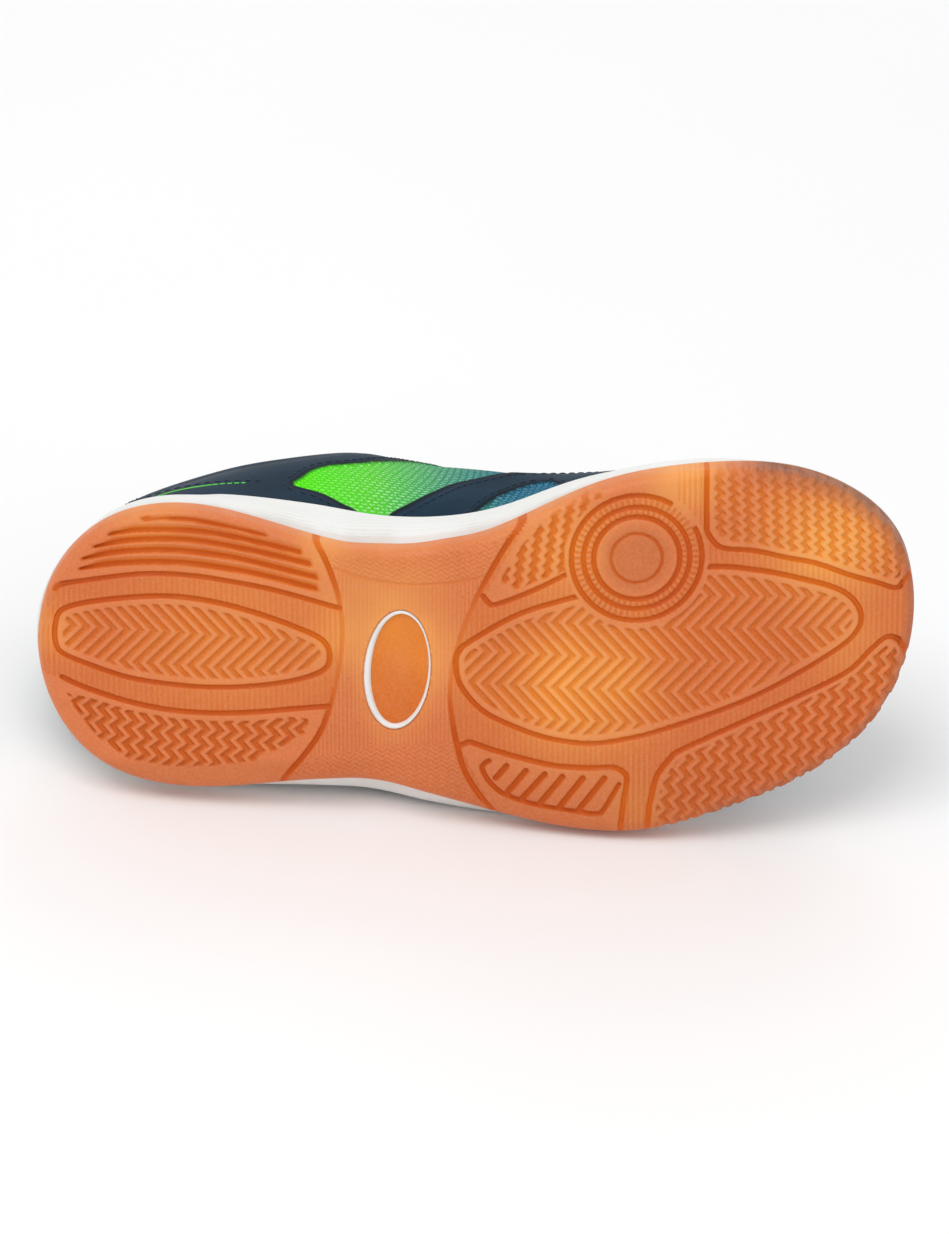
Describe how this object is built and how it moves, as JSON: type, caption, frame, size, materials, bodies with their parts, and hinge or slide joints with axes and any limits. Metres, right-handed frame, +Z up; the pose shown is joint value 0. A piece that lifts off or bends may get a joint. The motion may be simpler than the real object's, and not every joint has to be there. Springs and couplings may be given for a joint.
{
  "type": "athletic shoe",
  "caption": "Low-cut indoor sports shoe for a child's left foot: gum rubber tread with lugs and pivot disc, white foam midsole, hollow upper with knit windows, tongue and laces.",
  "frame": {"origin": "on the floor under the middle of the shoe's box, with the shoe lying on its lateral side", "axes": "+X from heel to toe, +Z up from the floor, so the sole faces -Y and leans up, and the medial side is on top"},
  "size_m": [0.2106, 0.0988, 0.0923],
  "materials": {
    "gum_rubber": "satin gum rubber",
    "white_foam": "matt moulded foam",
    "upper_fabric": "knit with smooth overlays",
    "footbed_fabric": "matt textile",
    "tongue_fabric": "matt textile",
    "lace_weave": "flat weave"
  },
  "bodies": {
    "root": {"outsole": "gum_rubber", "midsole": "white_foam", "upper": "upper_fabric", "insole": "footbed_fabric", "tongue": "tongue_fabric", "laces": "lace_weave"}
  },
  "joints": []
}
